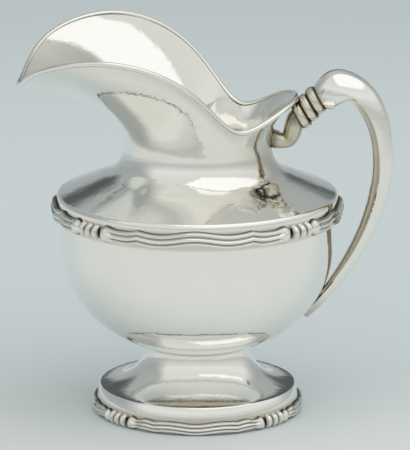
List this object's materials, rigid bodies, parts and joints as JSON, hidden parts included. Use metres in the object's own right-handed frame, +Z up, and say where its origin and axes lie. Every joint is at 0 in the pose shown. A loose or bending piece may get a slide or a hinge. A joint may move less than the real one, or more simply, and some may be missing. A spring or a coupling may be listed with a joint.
{
  "type": "cream jug",
  "caption": "Polished silver cream jug with a round bowl on a pedestal foot, a wide helmet pouring lip, applied reed-and-tie borders and a hollow-backed scroll handle.",
  "frame": {"origin": "on the jug's axis, at the table under the foot", "axes": "+Z up along the jug's axis, spout towards -X, handle towards +X, the pictured side towards -Y"},
  "size_m": [0.1089, 0.0852, 0.1109],
  "materials": {
    "polished_silver": "mirror-polished silver with fine hand-worked unevenness",
    "toned_silver": "polished silver with warm grey-brown tarnish in its grooves"
  },
  "bodies": {
    "root": {"bowl": "polished_silver", "upper_body": "polished_silver", "rim_wire": "polished_silver", "foot": "polished_silver", "handle_strap": "polished_silver", "handle_hook": "toned_silver", "handle_ring_1": "toned_silver", "handle_ring_2": "toned_silver", "handle_ring_3": "toned_silver", "girdle_reed_1": "toned_silver", "girdle_reed_2": "toned_silver", "girdle_reed_3": "toned_silver", "girdle_reed_4": "toned_silver", "girdle_tie_1": "toned_silver", "girdle_tie_2": "toned_silver", "girdle_tie_3": "toned_silver", "girdle_tie_4": "toned_silver", "foot_reed_1": "toned_silver", "foot_reed_2": "toned_silver", "foot_reed_3": "toned_silver", "foot_reed_4": "toned_silver", "foot_tie_1": "toned_silver", "foot_tie_2": "toned_silver", "foot_tie_3": "toned_silver", "foot_tie_4": "toned_silver"}
  },
  "joints": []
}
